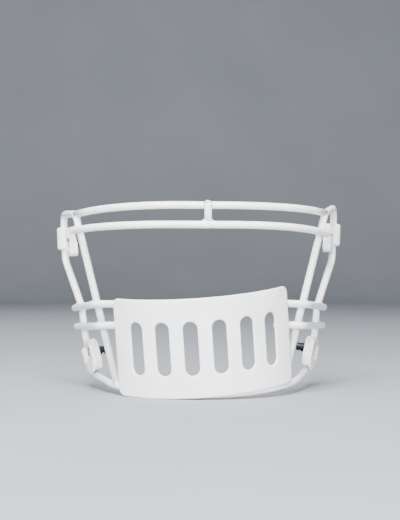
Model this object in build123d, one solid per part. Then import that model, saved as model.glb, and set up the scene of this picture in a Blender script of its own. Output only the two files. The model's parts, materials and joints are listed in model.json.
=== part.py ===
from build123d import *
import copy
import os
from math import acos, asin, atan2, cos, degrees, radians, sin, sqrt, tan

# A football helmet facemask: a welded cage of coated steel wire with a rolled mouth plate,
# and the four quick-release side clips that snap over its outer wires.
# +X is the viewer's right, -Y is the front, +Z is up. "left" parts lie at -X.
# Every side part is built at +X with its own side's sizes and then mirrored if it is a left one.
# The finished pieces are moved together, so that the origin is under the middle of the part.

os.makedirs("parts", exist_ok=True)

sides = {"left": -1, "right": 1}

# Wire stock over its coat, and how its welds and ends are made
wire_diameter = 6.4
wire_end_round = 2.3
weld_bite = 0.2
butt_reach = 1.9

# Brow bars: the straight middle runs to a corner, then a wide bend wraps back to the rails
upper_bar_front = -107.0
upper_bar_height = {"left": 47.2, "right": 46.6}
upper_bar_corner = 72.0
upper_bar_bend = 99.0
lower_bar_front = -112.0
lower_bar_height = {"left": 30.3, "right": 29.8}
lower_bar_corner = 77.0
lower_bar_bend = 92.0
lower_bar_shift = -2.5
upper_bar_shift = -1.8
lower_bar_end_out = {"left": 119.0, "right": 113.2}
lower_bar_end_back = -50.3
lower_bar_end_height = {"left": 26.3, "right": 23.4}
lower_bar_overhang = 4.2
brow_post_out = -0.5
brow_post_drop = 1.2

# Inner rails: from the lower brow bar straight down to the chin bar
rail_foot_out = {"left": 77.5, "right": 65.5}

# Temple loops, over the top from the inner rail back to the outer rail
loop_front_height = {"left": 41.2, "right": 43.0}
loop_back_height = {"left": 43.0, "right": 50.0}
loop_bend = 9.0
loop_stub = 1.0

# Outer rails, as corners of the bent wire: (out, back, up)
rail_top_out = 128.4
rail_knee = (126.6, 5.0, 0.5)
rail_cheek = (110.8, -3.0, -44.0)
rail_jaw = (107.9, -7.6, -69.0)
rail_knee_bend = 28.0
rail_cheek_bend = 38.0
rail_jaw_bend = 38.0

# Chin bar: one bend under each lower clip, then round the front behind the plate.
# It lies in one plane that rises toward its bends and toward the right.
# Its flare is how far outside the front arc's radius its corners lie.
chin_corner_flare = 7.5
chin_corner_back = -25.0
chin_corner_rise = 10.8
chin_roll_deg = 1.0
chin_bend = 12.0
chin_stub = 0.5
chin_front_height = -113.7

# Mouth plate: rolled sheet that leans forward at its top and sits a little askew.
# Its width is the sheet's, measured flat.
plate_thickness = 2.5
plate_radius = 96.0
plate_width = 173.8
plate_height = 84.8
plate_corner = 6.0
plate_edge_round = 0.8
plate_front = -130.0
plate_middle_height = -73.7
plate_shift = -3.5
plate_lean_deg = 6.6
plate_roll_deg = 4.2
slot_count = 6
slot_width = 12.5
slot_height = 46.0
slot_field = 136.0

# Cheek bars: height where they cross the outer rails, and depth below the plate's top edge
upper_cheek_back_height = -43.0
upper_cheek_below_top = 6.7
lower_cheek_back_height = -61.3
lower_cheek_below_top = 25.2
cheek_middle_rise = 1.8
cheek_overhang = 3.3
cheek_straight = 2.0
cheek_lap = 9.0
cheek_lead = 1.0
cheek_ease_share = 0.45

# Clips: moulded bodies. Heights are along the wire from the coupler's level,
# "ahead" is measured forward from the wire, and faces are measured outward from the wire.
wire_clearance = 0.08
barrel_wall = 3.6
barrel_end_round = 2.4
snap_mouth = 5.2
clip_edge_round = 2.0
recess_diameter = 12.6
recess_depth = 3.0
upper_coupler_height = {"left": 14.5, "right": 18.5}
lower_coupler_height = {"left": -89.2, "right": -87.8}
clip_turn_deg = {"upper": 16.0, "lower": 15.0}
clip_face = {"upper": 0.9, "lower": 5.6}
clip_back = {"upper": 6.6, "lower": 2.6}
coupler_ahead = {"upper": 13.6, "lower": 12.2}
barrel_span = {"upper": (-5.0, 16.0), "lower": (-7.0, 9.4)}
wire_gap = 1.5
upper_clip_front = 23.5
upper_clip_foot = -11.3
upper_clip_heel = 9.8
lower_clip_front = 22.6
lower_clip_top = 11.5
lower_clip_top_ahead = 15.0
lower_clip_front_top = 4.0
lower_clip_front_bottom = -13.5
lower_clip_foot = -20.5
lower_clip_foot_ahead = 16.5
lower_clip_heel = -14.0
lower_clip_heel_ahead = 6.6
skirt_thickness = 1.7
skirt_behind = 3.0
skirt_top = -4.0
skirt_back_bottom = -12.5
skirt_foot = -20.2
skirt_foot_ahead = 6.0
clip_corner_round = 4.0
channel_width = 3.4
channel_depth = 4.0

# Quick-release coupler, its pin, spring and balls. The shoulder fills the clip's hole,
# the shank behind it seats in the helmet's bush, and the nose carries the balls.
shoulder_diameter = 8.4
shoulder_clearance = 0.05
shoulder_proud = 0.4
shank_diameter = 8.0
shank_reach = 9.0
nose_diameter = 7.4
nose_length = 4.6
flange_diameter = 11.8
flange_thickness = 1.3
lip_thickness = 0.8
button_diameter = 3.4
button_proud = 0.7
button_clearance = 0.06
chamber_diameter = 5.8
chamber_length = 6.4
collar_thickness = 1.0
collar_clearance = 0.08
pin_diameter = 4.0
pin_clearance = 0.05
pin_neck_diameter = 2.5
pin_inset = 0.5
pin_travel = 2.5
ball_diameter = 2.5
ball_proud = 0.5
ball_sink = 0.1
ball_clearance = 0.03
ball_from_end = 3.0
ball_hole_clearance = 0.08
ball_hole_exit = 2.44
ball_cone_length = 0.55
turned_chamfer = 0.5
spring_wire = 0.45
spring_diameter = 4.1
spring_turns = 5
end_gap = 0.05

cut_overrun = 1.0
fit_rounds = 4

wire_radius = wire_diameter / 2
lap_distance = wire_diameter - weld_bite
bore = wire_radius + wire_clearance
pin_slope_share = (ball_proud + ball_sink) / pin_travel


def on_side(side, point):
    """Move a point between its true place and the +X side that parts are built on."""
    point = Vector(*point)
    return Vector(sides[side] * point.X, point.Y, point.Z)


def placed(side, solid):
    """Put a solid built at +X on its own side."""
    return mirror(solid, Plane.YZ) if side == "left" else solid


def at_height(start, end, height):
    """The point of a straight line that lies at one height."""
    start = Vector(*start)
    run = Vector(*end) - start
    return start + run * ((height - start.Z) / run.Z)


def wire_along(path):
    """Carry the wire's round section along a path."""
    section = Plane(origin=path @ 0, z_dir=path % 0) * Circle(wire_radius)
    return sweep(section, path=path).solid()


def round_end(wire, point):
    """Round the free end of a wire at a point."""
    rims = wire.edges().filter_by(GeomType.CIRCLE)
    rim = min(rims, key=lambda edge: (edge.arc_center - Vector(*point)).length)
    return fillet(rim, wire_end_round).solid()


def cut_to(wire, *others):
    """Fit a wire to what it is welded to, and keep its main body."""
    for other in others:
        wire = wire - other
    return wire.solids().sort_by(SortBy.VOLUME)[-1]


# Mouth plate

def plate_place():
    """Frame at the middle of the plate's front: x along it, y back, z up its lean."""
    middle = (plate_shift, plate_front, plate_middle_height)
    return Location(middle, (plate_lean_deg, -plate_roll_deg, 0))


def plate_point(angle_deg, depth, height):
    """The point at an angle round the plate's roll, at a depth behind its front, at a true height."""
    reach = plate_radius - depth
    across = reach * sin(radians(angle_deg))
    back = plate_radius - reach * cos(radians(angle_deg))
    low = (plate_place() * Location((across, back, -plate_height))).position
    high = (plate_place() * Location((across, back, plate_height))).position
    return at_height(low, high, height)


def plate_turn_deg(along):
    """Angle round the roll for a length along the plate's front."""
    return degrees(along / plate_radius)


def make_mouth_plate():
    """A rolled sheet with rounded corners and a row of upright vent slots cut through it."""
    axis = Pos(0, plate_radius, 0)
    edge_deg = plate_turn_deg(plate_width / 2)
    front = CenterArc((0, plate_radius), plate_radius, -90 - edge_deg, 2 * edge_deg)
    back = CenterArc((0, plate_radius), plate_radius - plate_thickness, -90 - edge_deg, 2 * edge_deg)
    section = make_face([front, back, Line(front @ 0, back @ 0), Line(front @ 1, back @ 1)])
    sheet = extrude(section, amount=plate_height / 2, both=True)
    corners = sheet.edges().filter_by(GeomType.LINE).filter_by(Axis.Z, reverse=True)
    sheet = fillet(corners, plate_corner)
    sheet = fillet(sheet.edges(), plate_edge_round).solid()
    pitch = (slot_field - slot_width) / (slot_count - 1)
    slot = Plane.XZ * SlotOverall(slot_height, slot_width, rotation=90)
    cutter = extrude(slot, amount=plate_radius / 2, both=True)
    for index in range(slot_count):
        turn = plate_turn_deg((index - (slot_count - 1) / 2) * pitch)
        sheet = sheet - axis * Rot(0, 0, turn) * Pos(0, -plate_radius, 0) * cutter
    return (plate_place() * sheet).solid()


# Brow bars and chin bar

def lower_bar_path():
    """Flat in front, then a wide bend on each side to the free ends past the inner rails."""
    ends = [
        (sides[side] * lower_bar_end_out[side], lower_bar_end_back, lower_bar_end_height[side])
        for side in sides
    ]
    corners = [
        (sides[side] * lower_bar_corner + lower_bar_shift, lower_bar_front, lower_bar_height[side])
        for side in sides
    ]
    return FilletPolyline(ends[0], corners[0], corners[1], ends[1], radius=[lower_bar_bend] * 2)


def upper_bar_path():
    """Like the lower brow bar, but it ends on the front corners of the temple loops."""
    ends = [on_side(side, loop_front(side)) for side in sides]
    corners = [
        (sides[side] * upper_bar_corner + upper_bar_shift, upper_bar_front, upper_bar_height[side])
        for side in sides
    ]
    return FilletPolyline(ends[0], corners[0], corners[1], ends[1], radius=[upper_bar_bend] * 2)


def chin_front_radius():
    """The chin bar's front runs round behind the plate, with its face against it."""
    return plate_radius - plate_thickness - wire_radius + weld_bite


def chin_front_point():
    """Front middle of the chin bar's centre line."""
    on_plate = plate_point(0, plate_thickness + wire_radius - weld_bite, chin_front_height)
    return Vector(0, on_plate.Y, chin_front_height)


def chin_corner_out():
    """Distance out from the middle to the chin bar's corners, along its plane."""
    return chin_front_radius() + chin_corner_flare


def chin_plane(side):
    """The chin bar's own tilted plane on one side: x outward, y back from its front middle."""
    front = chin_front_point()
    roll = radians(chin_roll_deg)
    x_dir = Vector(cos(roll), 0, sides[side] * sin(roll))
    y_dir = Vector(0, chin_corner_back - front.Y, chin_corner_rise)
    return Plane(origin=front, x_dir=x_dir, z_dir=x_dir.cross(y_dir))


def chin_corner_depth():
    """Distance back along the chin bar's plane from its front to its corners."""
    return sqrt((chin_corner_back - chin_front_point().Y) ** 2 + chin_corner_rise**2)


def chin_corner(side):
    """Corner where the chin bar turns up into the outer rail."""
    return chin_plane(side).from_local_coords(Vector(chin_corner_out(), chin_corner_depth(), 0))


def chin_tangent_deg():
    """Angle round the chin bar's front at which its straight side runs leave it."""
    radius = chin_front_radius()
    back = chin_corner_depth() - radius
    reach = sqrt(chin_corner_out() ** 2 + back**2)
    return 90 + degrees(atan2(back, chin_corner_out())) - degrees(acos(radius / reach))


def chin_arc_point(side, angle_deg):
    """A point of the chin bar's front arc, at an angle from its middle."""
    radius = chin_front_radius()
    turn = radians(angle_deg)
    return chin_plane(side).from_local_coords(Vector(radius * sin(turn), radius * (1 - cos(turn)), 0))


def chin_point_out(side, out):
    """The chin bar's centre line at a distance out from the middle, on the +X side."""
    tangent = chin_arc_point(side, chin_tangent_deg())
    if out < tangent.X:
        return chin_arc_point(side, degrees(asin(out / chin_front_radius())))
    corner = chin_corner(side)
    return tangent + (corner - tangent) * ((out - tangent.X) / (corner.X - tangent.X))


def chin_start(side):
    """Where the chin bar's upper bend starts, on the outer rail's last straight run."""
    corner = chin_corner(side)
    up = (Vector(*rail_jaw) - corner).normalized()
    ahead = (chin_arc_point(side, chin_tangent_deg()) - corner).normalized()
    turn = radians(180 - up.get_angle(ahead))
    return corner + up * (chin_bend * tan(turn / 2) + chin_stub)


def chin_bar_path():
    """Down out of each outer rail, round its bend, and along one arc behind the plate."""
    edge_deg = chin_tangent_deg()
    runs = {}
    for side in sides:
        points = (chin_start(side), chin_corner(side), chin_arc_point(side, edge_deg))
        runs[side] = [on_side(side, point) for point in points]
    start = FilletPolyline(*runs["left"], radius=[chin_bend])
    front = ThreePointArc(runs["left"][-1], chin_front_point(), runs["right"][-1])
    end = FilletPolyline(*reversed(runs["right"]), radius=[chin_bend])
    return Wire(start.edges() + front.edges() + end.edges())


# Side wires, all at +X

def rail_weld(side):
    """Where the inner rail passes behind the lower brow bar, and that bar's point there."""
    path = lower_bar_path()
    along = lower_bar_overhang if side == "left" else path.length - lower_bar_overhang
    on_bar = on_side(side, path.position_at(along, position_mode=PositionMode.LENGTH))
    along_bar = on_side(side, path.tangent_at(along, position_mode=PositionMode.LENGTH))
    inward = along_bar.cross(on_bar - rail_foot(side)).normalized()
    if inward.X > 0:
        inward = inward * -1
    return on_bar + inward * lap_distance


def rail_foot(side):
    """The chin bar's centre where the inner rail lands on it."""
    return chin_point_out(side, rail_foot_out[side])


def loop_front(side):
    """Corner where the inner rail's line meets the temple loop's top run."""
    return at_height(rail_foot(side), rail_weld(side), loop_front_height[side])


def outer_rail_top(side):
    """Corner where the outer rail's line meets the temple loop's top run."""
    top = (rail_top_out, rail_knee[1], loop_back_height["right"])
    return at_height(rail_knee, top, loop_back_height[side])


def bend_start(corner, toward, other):
    """Point a stub's length before a loop bend, on the way from a corner toward a point."""
    along = (toward - corner).normalized()
    turn = radians(180 - along.get_angle(other - corner))
    return corner + along * (loop_bend * tan(turn / 2) + loop_stub)


def loop_ends(side):
    """Joints of the temple loop with the inner rail and with the outer rail."""
    front = loop_front(side)
    back = outer_rail_top(side)
    return bend_start(front, rail_foot(side), back), bend_start(back, Vector(*rail_knee), front)


def make_temple_loop(side):
    """One bend up and over from the inner rail to the outer rail."""
    start, end = loop_ends(side)
    path = FilletPolyline(start, loop_front(side), outer_rail_top(side), end, radius=[loop_bend] * 2)
    return placed(side, wire_along(path))


def make_inner_rail(side):
    """A straight wire from the temple loop down to the chin bar, its foot fitted to the bar."""
    start = loop_ends(side)[0]
    foot = rail_foot(side)
    end = foot + (start - foot).normalized() * butt_reach
    rail = round_end(wire_along(Line(start, end)), end)
    return placed(side, rail)


def make_outer_rail(side):
    """From the temple loop down through both clips to the chin bar's bend."""
    end = loop_ends(side)[1]
    path = FilletPolyline(
        end, rail_knee, rail_cheek, rail_jaw, chin_start(side),
        radius=[rail_knee_bend, rail_cheek_bend, rail_jaw_bend],
    )
    return placed(side, wire_along(path))


def outer_rail_at(side, height):
    """The outer rail's centre and direction at a height below its knee."""
    corners = [Vector(*rail_knee), Vector(*rail_cheek), Vector(*rail_jaw), chin_corner(side)]
    for high, low in zip(corners, corners[1:]):
        if height >= low.Z:
            return at_height(low, high, height), (high - low).normalized()
    return corners[-1], (corners[-2] - corners[-1]).normalized()


def cheek_front_height(below_top):
    """Height of a cheek bar's end behind the plate."""
    return plate_middle_height + plate_height / 2 - below_top


def cheek_crossings(side, back_height, front_height):
    """Where a cheek bar's centre line passes in front of the outer rail and the inner rail."""
    outer, outer_up = outer_rail_at(side, back_height)
    foot = rail_foot(side)
    inner_up = (loop_front(side) - foot).normalized()
    middle_height = back_height + (front_height - back_height) / 2 + cheek_middle_rise
    inner = at_height(foot, loop_front(side), middle_height)
    run = inner - outer
    for _ in range(fit_rounds):
        over_outer = outer + outer_up.cross(run).normalized() * lap_distance
        over_inner = inner + inner_up.cross(run).normalized() * lap_distance
        run = over_inner - over_outer
    return over_outer, over_inner


def cheek_bar_path(side, back_height, front_height):
    """Straight from the free end across both rails, then one eased bend to lie behind the plate."""
    over_outer, over_inner = cheek_crossings(side, back_height, front_height)
    depth = plate_thickness + wire_radius - weld_bite
    lap_deg = plate_turn_deg(plate_width / 2 - cheek_lap / 2)
    step_deg = plate_turn_deg(cheek_lap / 2)
    turn = sides[side]
    lap = on_side(side, plate_point(turn * lap_deg, depth, front_height))
    inner_lap = on_side(side, plate_point(turn * (lap_deg - step_deg), depth, front_height))
    outer_lap = on_side(side, plate_point(turn * (lap_deg + step_deg), depth, front_height))
    along = (outer_lap - inner_lap).normalized()
    run = (over_outer - over_inner).normalized()
    bend_start = over_inner - run * cheek_straight
    bend_end = lap + along * cheek_lead
    ease = (bend_end - bend_start).length * cheek_ease_share
    straight = Line(over_outer + run * cheek_overhang, bend_start)
    bend = Bezier(bend_start, bend_start - run * ease, bend_end + along * ease, bend_end)
    end = Line(bend_end, lap - along * cheek_lap)
    return Wire([straight.edge(), bend.edge(), end.edge()])


def make_cheek_bar(side, back_height, front_height):
    """A bar welded across both rails, with its front end welded behind the plate."""
    path = cheek_bar_path(side, back_height, front_height)
    bar = round_end(wire_along(path), path @ 0)
    return placed(side, round_end(bar, path @ 1))


def make_brow_post():
    """A short upright between the brow bars, in front of the upper one."""
    bottom_height = sum(lower_bar_height.values()) / 2 + butt_reach
    top_height = sum(upper_bar_height.values()) / 2 + wire_radius - brow_post_drop
    bottom = Vector(brow_post_out, lower_bar_front, bottom_height)
    top = Vector(brow_post_out, upper_bar_front - lap_distance, top_height)
    post = wire_along(Line(bottom, top))
    return round_end(round_end(post, bottom), top)


# Clips. Each clip's frame is on the wire at the coupler's level:
# x runs back, y up along the wire, z outward, so what is ahead of the wire has a negative x.

def clip_place(side, level):
    """Frame of a clip on its wire, built at +X."""
    if level == "upper":
        foot, top, height = Vector(*rail_knee), outer_rail_top(side), upper_coupler_height[side]
    else:
        foot, top, height = chin_corner(side), Vector(*rail_jaw), lower_coupler_height[side]
    up = (top - foot).normalized()
    turn = radians(clip_turn_deg[level])
    facing = Vector(cos(turn), -sin(turn), 0)
    outward = (facing - up * facing.dot(up)).normalized()
    return Plane(origin=at_height(foot, top, height), x_dir=up.cross(outward), z_dir=outward)


def clip_outline(level):
    """Side view of a clip's flat body, ahead of the wire."""
    low, high = barrel_span[level]
    start = bore + wire_gap
    if level == "upper":
        points = [
            (-start, low),
            (-start, high),
            (-upper_clip_front, 0),
            (-upper_clip_front, upper_clip_foot),
            (-upper_clip_heel, upper_clip_foot),
        ]
    else:
        points = [
            (-start, low),
            (-start, lower_clip_top),
            (-lower_clip_top_ahead, lower_clip_top),
            (-lower_clip_front, lower_clip_front_top),
            (-lower_clip_front, lower_clip_front_bottom),
            (-lower_clip_foot_ahead, lower_clip_foot),
            (-lower_clip_heel_ahead, lower_clip_heel),
        ]
    shape = make_face(Polyline(*points, close=True))
    ahead = shape.vertices().filter_by(lambda vertex: vertex.X < -start - wire_clearance)
    return fillet(ahead, clip_corner_round)


def clip_skirt():
    """The lower clip's outer leaf, which hangs down outside the chin bar's bend."""
    points = [
        (skirt_behind, skirt_top),
        (skirt_behind, skirt_back_bottom),
        (-skirt_foot_ahead, skirt_foot),
        (-lower_clip_foot_ahead, lower_clip_foot),
        (-lower_clip_foot_ahead, skirt_top),
    ]
    shape = make_face(Polyline(*points, close=True))
    low = shape.vertices().filter_by(lambda vertex: vertex.Y < skirt_top)
    shape = fillet(low.filter_by(lambda vertex: vertex.X > -lower_clip_foot_ahead), clip_corner_round)
    leaf = extrude(Pos(0, 0, clip_face["lower"] - skirt_thickness) * shape, amount=skirt_thickness)
    return fillet(leaf.faces().sort_by(Axis.Z)[-1].edges(), skirt_thickness / 2)


def clip_barrel(level):
    """Round sleeve over the wire, and its square seat toward the helmet, before the bore."""
    low, high = barrel_span[level]
    outer = bore + barrel_wall
    barrel = Rot(90, 0, 0) * Cylinder(outer, high - low)
    barrel = fillet(barrel.edges().filter_by(GeomType.CIRCLE), barrel_end_round)
    seat = Box(outer * 2, high - low, clip_back[level], align=(Align.CENTER, Align.CENTER, Align.MAX))
    seat = fillet(seat.edges().filter_by(Axis.Z), barrel_end_round)
    return Pos(0, (low + high) / 2, 0) * (barrel + seat)


def clip_bore(level):
    """The round bore for the wire and the narrower mouth it snaps in through."""
    low, high = barrel_span[level]
    length = high - low + cut_overrun * 2
    round_bore = Rot(90, 0, 0) * Cylinder(bore, length)
    depth = bore + barrel_wall + clip_back[level]
    mouth = Box(snap_mouth, length, depth, align=(Align.CENTER, Align.CENTER, Align.MAX))
    return Pos(0, (low + high) / 2, 0) * (round_bore + mouth)


def make_clip(level):
    """A moulded body that snaps over the wire, with a recess and a hole for its coupler."""
    face = clip_face[level]
    back = clip_back[level]
    flat = Pos(0, 0, -back) * clip_outline(level)
    body = extrude(flat, amount=face + back)
    body = fillet(body.faces().sort_by(Axis.Z)[-1].edges(), clip_edge_round)
    if level == "lower":
        body = body + clip_skirt()
    body = body + clip_barrel(level) - clip_bore(level)
    at_floor = Pos(-coupler_ahead[level], 0, face - recess_depth)
    body = body - at_floor * disc(recess_diameter / 2, 0, recess_depth + cut_overrun)
    hole = disc(shoulder_diameter / 2 + shoulder_clearance, -face - back, cut_overrun)
    body = body - at_floor * hole
    if level == "lower":
        channel = Box(
            channel_depth + cut_overrun,
            lower_clip_top + cut_overrun,
            channel_width,
            align=(Align.MAX, Align.MIN, Align.CENTER),
        )
        body = body - Pos(channel_depth - lower_clip_front, 0, (face - back) / 2) * channel
    return body.solid()


# Couplers. Each coupler's frame is on the floor of its clip's recess: z outward, y up the wire.

def shank_length(level):
    """From the recess floor through the clip and on into the helmet."""
    return clip_face[level] + clip_back[level] - recess_depth + shank_reach


def coupler_place(side, level):
    """Frame of a coupler, built at +X."""
    on_floor = Pos(-coupler_ahead[level], 0, clip_face[level] - recess_depth)
    return clip_place(side, level).location * on_floor


def disc(radius, low, high):
    """A round length of a turned part, from one height to another."""
    return Pos(0, 0, low) * Cylinder(radius, high - low, align=(Align.CENTER, Align.CENTER, Align.MIN))


def ball_height(level):
    return ball_from_end - shank_length(level)


def ball_out():
    """Distance of a ball's middle from the coupler's axis, locked."""
    return shank_diameter / 2 + ball_proud - ball_diameter / 2


def make_coupler(level):
    """Flanged steel barrel: a chamber for the spring, a guide for the pin, two ball holes."""
    end = -shank_length(level)
    chamber_top = flange_thickness - lip_thickness
    shoulder_end = end + shank_reach - shoulder_proud
    nose_top = end + nose_length
    body = disc(flange_diameter / 2, 0, flange_thickness)
    body = chamfer(body.edges().sort_by(Axis.Z)[-1], turned_chamfer)
    nose = disc(nose_diameter / 2, end, nose_top)
    nose = chamfer(nose.edges().sort_by(Axis.Z)[0], turned_chamfer)
    body = body + disc(shoulder_diameter / 2, shoulder_end, 0)
    body = body + disc(shank_diameter / 2, nose_top, shoulder_end) + nose
    body = body - disc(button_diameter / 2 + button_clearance, chamber_top, flange_thickness + cut_overrun)
    body = body - disc(chamber_diameter / 2, chamber_top - chamber_length, chamber_top)
    body = body - disc(pin_diameter / 2 + pin_clearance, end - cut_overrun, chamber_top)
    radius = ball_diameter / 2 + ball_hole_clearance
    straight = nose_diameter / 2 - ball_cone_length
    hole = disc(radius, 0, straight)
    cone = Pos(0, 0, straight) * Cone(
        radius, ball_hole_exit / 2, ball_cone_length, align=(Align.CENTER, Align.CENTER, Align.MIN)
    )
    mouth = disc(ball_hole_exit / 2, nose_diameter / 2, nose_diameter / 2 + cut_overrun)
    hole = hole + cone + mouth
    for turn in (90, -90):
        body = body - Pos(0, 0, ball_height(level)) * Rot(turn, 0, 0) * hole
    return body.solid()


def make_release_pin(level):
    """Button, collar, neck, the long cone that holds the balls out, and the guided tip."""
    end = -shank_length(level)
    collar_top = flange_thickness - lip_thickness - end_gap
    collar_bottom = collar_top - collar_thickness
    slant = sqrt(1 + pin_slope_share**2)
    at_ball = ball_out() - (ball_diameter / 2 + ball_clearance) * slant
    wide = ball_height(level) - (pin_diameter / 2 - at_ball) / pin_slope_share
    narrow = ball_height(level) + (at_ball - pin_neck_diameter / 2) / pin_slope_share
    button = disc(button_diameter / 2, collar_bottom, flange_thickness + button_proud)
    button = chamfer(button.edges().sort_by(Axis.Z)[-1], button_proud / 2)
    pin = button + disc(chamber_diameter / 2 - collar_clearance, collar_bottom, collar_top)
    pin = pin + disc(pin_neck_diameter / 2, narrow, collar_bottom)
    cone = Cone(
        pin_diameter / 2, pin_neck_diameter / 2, narrow - wide, align=(Align.CENTER, Align.CENTER, Align.MIN)
    )
    pin = pin + Pos(0, 0, wide) * cone
    tip = disc(pin_diameter / 2, end + pin_inset, wide)
    tip = chamfer(tip.edges().sort_by(Axis.Z)[0], pin_inset)
    return (pin + tip).solid()


def make_pin_spring():
    """A round-wire coil between the pin's collar and the chamber's floor."""
    top = flange_thickness - lip_thickness - end_gap - collar_thickness - end_gap - spring_wire / 2
    bottom = flange_thickness - lip_thickness - chamber_length + end_gap + spring_wire / 2
    coil = Helix((top - bottom) / spring_turns, top - bottom, spring_diameter / 2)
    section = Plane(origin=coil @ 0, z_dir=coil % 0) * Circle(spring_wire / 2)
    return (Pos(0, 0, bottom) * sweep(section, path=coil)).solid()


def make_lock_ball(level, turn):
    """A steel ball in its hole, turned up or down the wire from the coupler's axis."""
    return Pos(0, turn * ball_out(), ball_height(level)) * Sphere(ball_diameter / 2)


def make_cage():
    """All welded parts, each wire fitted to what it lands on."""
    parts = {}
    plate = make_mouth_plate()
    chin = cut_to(wire_along(chin_bar_path()), plate)
    lower_bar = wire_along(lower_bar_path())
    for end in (0, 1):
        lower_bar = round_end(lower_bar, lower_bar_path() @ end)
    upper_bar = wire_along(upper_bar_path())
    for side in sides:
        loop = make_temple_loop(side)
        inner = cut_to(make_inner_rail(side), chin, lower_bar, plate)
        outer = make_outer_rail(side)
        parts[f"{side}_temple_loop"] = loop
        parts[f"{side}_inner_rail"] = inner
        parts[f"{side}_outer_rail"] = outer
        for level, back_height, below_top in (
            ("upper", upper_cheek_back_height, upper_cheek_below_top),
            ("lower", lower_cheek_back_height, lower_cheek_below_top),
        ):
            bar = make_cheek_bar(side, back_height, cheek_front_height(below_top))
            parts[f"{side}_{level}_cheek_bar"] = cut_to(bar, plate, inner, outer)
        upper_bar = cut_to(upper_bar, loop, inner)
    parts["upper_brow_bar"] = upper_bar
    parts["lower_brow_bar"] = lower_bar
    parts["brow_post"] = cut_to(make_brow_post(), upper_bar, lower_bar)
    parts["chin_bar"] = chin
    parts["mouth_plate"] = plate
    return parts


def make_corner(side, level):
    """One clip with everything in it."""
    name = f"{side}_{level}"
    at_clip = clip_place(side, level).location
    at_coupler = coupler_place(side, level)
    return {
        f"{name}_clip": placed(side, at_clip * make_clip(level)),
        f"{name}_coupler": placed(side, at_coupler * make_coupler(level)),
        f"{name}_release_pin": placed(side, at_coupler * make_release_pin(level)),
        f"{name}_pin_spring": placed(side, at_coupler * make_pin_spring()),
        f"{name}_top_lock_ball": placed(side, at_coupler * make_lock_ball(level, 1)),
        f"{name}_bottom_lock_ball": placed(side, at_coupler * make_lock_ball(level, -1)),
    }


def make_all():
    """Every piece by name."""
    parts = make_cage()
    for side in sides:
        for level in ("upper", "lower"):
            parts.update(make_corner(side, level))
    return parts


def ground_shift(parts):
    """How far the pieces move to bring the origin under the middle of the part's box."""
    box = Compound(children=[copy.copy(piece) for piece in parts.values()]).bounding_box()
    return Vector(-box.center().X, -box.center().Y, -box.min.Z)


parts = make_all()
shift = ground_shift(parts)
for name, piece in parts.items():
    export_step(Pos(*shift) * piece, f"parts/{name}.step")
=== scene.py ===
import json
import bpy
import numpy as np
from mathutils import Matrix, Vector


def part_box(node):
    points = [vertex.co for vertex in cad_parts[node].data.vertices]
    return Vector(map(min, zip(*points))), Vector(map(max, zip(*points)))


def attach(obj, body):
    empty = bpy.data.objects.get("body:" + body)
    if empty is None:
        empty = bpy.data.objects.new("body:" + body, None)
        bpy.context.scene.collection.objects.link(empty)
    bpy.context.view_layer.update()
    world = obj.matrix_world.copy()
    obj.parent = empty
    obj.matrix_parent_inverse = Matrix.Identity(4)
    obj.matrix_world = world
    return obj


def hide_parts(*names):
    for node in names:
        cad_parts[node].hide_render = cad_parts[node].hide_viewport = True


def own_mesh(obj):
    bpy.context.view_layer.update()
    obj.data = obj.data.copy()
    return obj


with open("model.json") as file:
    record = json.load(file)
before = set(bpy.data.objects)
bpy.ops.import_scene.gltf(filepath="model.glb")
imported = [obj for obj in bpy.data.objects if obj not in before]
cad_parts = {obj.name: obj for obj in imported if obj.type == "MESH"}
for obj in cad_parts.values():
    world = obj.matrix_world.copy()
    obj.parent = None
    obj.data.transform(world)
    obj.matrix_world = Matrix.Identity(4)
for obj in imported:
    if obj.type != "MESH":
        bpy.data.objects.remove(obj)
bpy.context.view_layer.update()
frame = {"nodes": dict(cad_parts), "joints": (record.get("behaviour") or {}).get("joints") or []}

# Looks for a football helmet facemask: coated wire cage, rolled mouth plate, four moulded clips.
# Sizes are in millimetres in the maker's frame: +X right, -Y front, +Z up, origin between the rails.
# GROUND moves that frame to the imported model's, which stands on the floor.
GROUND = np.array([-0.0727, 60.6719, 117.629])
SIDES = {"left": -1.0, "right": 1.0}

# Wires over their coat; crossing wires lie LAP apart
WIRE_R = 3.2
END_ROUND, END_CLEAR = 2.3, 0.3
BITE = 0.2
LAP = 2 * WIRE_R - BITE
RING_POINTS, CHIN_POINTS, CHEEK_POINTS = 28, 45, 24
ARC_STEP = np.radians(3.0)

# Welds: fillet radii, points round each, how deep a hem lies under the coat, and the ruler's step
FOOT_WELD, POST_WELD, CROSS_WELD = 1.5, 2.4, 1.4
WELD_POINTS, CROSS_POINTS, HEM, RULER = 64, 72, 0.15, 0.15
SLIDE_FROM, SLIDE_TO, SLIDE_STEPS = 16.0, -2.0, 181
PAD_HALF_WIDTH, PAD_HALF_HEIGHT, PAD_BLEND, PAD_SINK = 5.4, 2.95, 2.6, 0.12
PAD_RINGS, PAD_POINTS = 9, 48

# Brow bars and the post between them
UPPER_FRONT, UPPER_CORNER, UPPER_BEND, UPPER_SHIFT = -107.0, 72.0, 99.0, -1.8
UPPER_HEIGHT = {"left": 47.2, "right": 46.6}
LOWER_FRONT, LOWER_CORNER, LOWER_BEND, LOWER_SHIFT = -112.0, 77.0, 92.0, -2.5
LOWER_HEIGHT = {"left": 30.3, "right": 29.8}
LOWER_END_OUT = {"left": 119.0, "right": 113.2}
LOWER_END_BACK = -50.3
LOWER_END_HEIGHT = {"left": 26.3, "right": 23.4}
LOWER_OVERHANG = 4.2
POST_OUT, POST_DROP = -0.5, 1.2

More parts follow.
